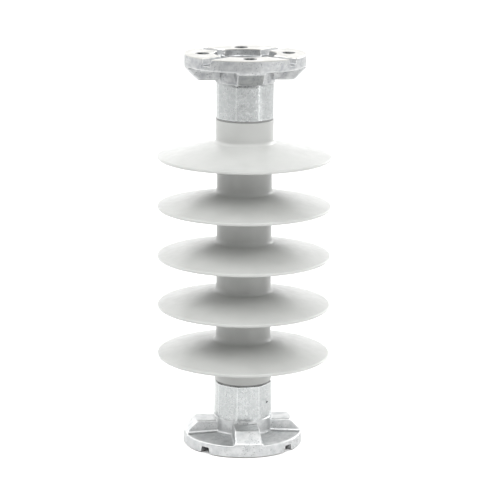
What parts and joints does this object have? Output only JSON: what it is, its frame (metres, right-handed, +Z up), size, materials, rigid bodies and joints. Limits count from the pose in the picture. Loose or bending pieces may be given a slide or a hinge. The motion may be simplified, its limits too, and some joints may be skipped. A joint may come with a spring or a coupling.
{
  "type": "composite station post insulator",
  "caption": "Upright post insulator with wide thin rubber sheds on a slim shank and a crimped, bolted aluminium flange at each end.",
  "frame": {"origin": "centre of the bottom mating face", "axes": "+Z up along the post, from the bottom mating face to the top one; the bolt holes lie on X and Y"},
  "size_m": [0.1548, 0.1548, 0.355],
  "materials": {
    "cast_aluminium": "sand-cast and crimped, satin",
    "silicone_rubber": "moulded, soft satin",
    "fibreglass": "pultruded, smooth",
    "sealant": "cured silicone bead",
    "nitrile_rubber": "moulded, matt"
  },
  "bodies": {
    "root": {"bottom_end_fitting": "cast_aluminium", "top_end_fitting": "cast_aluminium", "core_rod": "fibreglass", "housing_sheath": "silicone_rubber", "shed_1": "silicone_rubber", "shed_2": "silicone_rubber", "shed_3": "silicone_rubber", "shed_4": "silicone_rubber", "shed_5": "silicone_rubber", "bottom_end_collar": "silicone_rubber", "top_end_collar": "silicone_rubber", "bottom_sealant_bead": "sealant", "top_sealant_bead": "sealant", "bottom_o_ring": "nitrile_rubber", "top_o_ring": "nitrile_rubber"}
  },
  "joints": []
}
